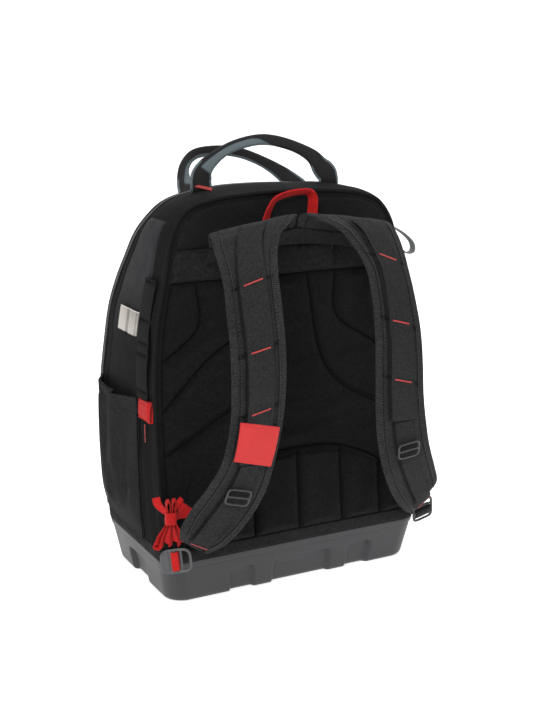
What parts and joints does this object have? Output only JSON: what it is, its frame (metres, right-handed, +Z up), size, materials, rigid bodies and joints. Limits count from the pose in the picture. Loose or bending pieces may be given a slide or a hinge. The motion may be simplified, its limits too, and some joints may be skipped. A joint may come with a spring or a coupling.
{
  "type": "tool backpack",
  "caption": "Tool backpack with a moulded tub base, hollow cloth body with pockets, quilted back, padded shoulder straps and carry handles.",
  "frame": {"origin": "middle of the tub's underside, on the floor", "axes": "+Z up, -Y towards the wearer's side with the harness, +Y towards the outer front, +X to the right seen from the wearer's side"},
  "size_m": [0.474, 0.3636, 0.6123],
  "materials": {
    "cloth": "near-black woven polyester",
    "cloth_grey": "dark grey coated cloth",
    "back_mesh": "near-black padded mesh",
    "strap_cloth": "charcoal coarse weave",
    "webbing": "black webbing",
    "loop_grey": "grey-blue webbing",
    "red_webbing": "red webbing",
    "label": "plain red patch",
    "tub_plastic": "grey matte moulding",
    "buckle_plastic": "dark grey acetal",
    "clip_steel": "satin nickel plate"
  },
  "bodies": {
    "root": {"base_tub": "tub_plastic", "base_binding": "webbing", "gusset": "cloth_grey", "rear_piping": "cloth", "zipper_track": "webbing", "zip_slider": "red_webbing", "front_panel": "cloth", "front_pocket": "cloth", "side_pocket_left": "cloth", "side_pocket_right": "cloth", "back_panel": "cloth", "upper_panel": "cloth", "back_band": "webbing", "back_pad": "back_mesh", "lumbar_pad": "back_mesh", "side_webbing_left": "webbing", "red_tab_left": "red_webbing", "side_webbing_right": "webbing", "red_tab_right": "red_webbing", "tape_clip": "clip_steel", "side_loop": "loop_grey", "handle_rear": "webbing", "handle_front": "webbing", "shoulder_strap_left": "strap_cloth", "strap_webbing_left": "webbing", "lower_webbing_left": "webbing", "shoulder_strap_right": "strap_cloth", "strap_webbing_right": "webbing", "lower_webbing_right": "webbing", "label_patch": "label", "yoke": "strap_cloth", "grab_loop": "red_webbing", "strap_slider_left": "buckle_plastic", "strap_slider_right": "buckle_plastic", "ladder_lock_left": "buckle_plastic", "adjuster_webbing_left": "red_webbing", "ladder_lock_right": "buckle_plastic", "adjuster_webbing_right": "red_webbing", "tail_bundle": "red_webbing", "tail_wrap": "red_webbing"}
  },
  "joints": []
}
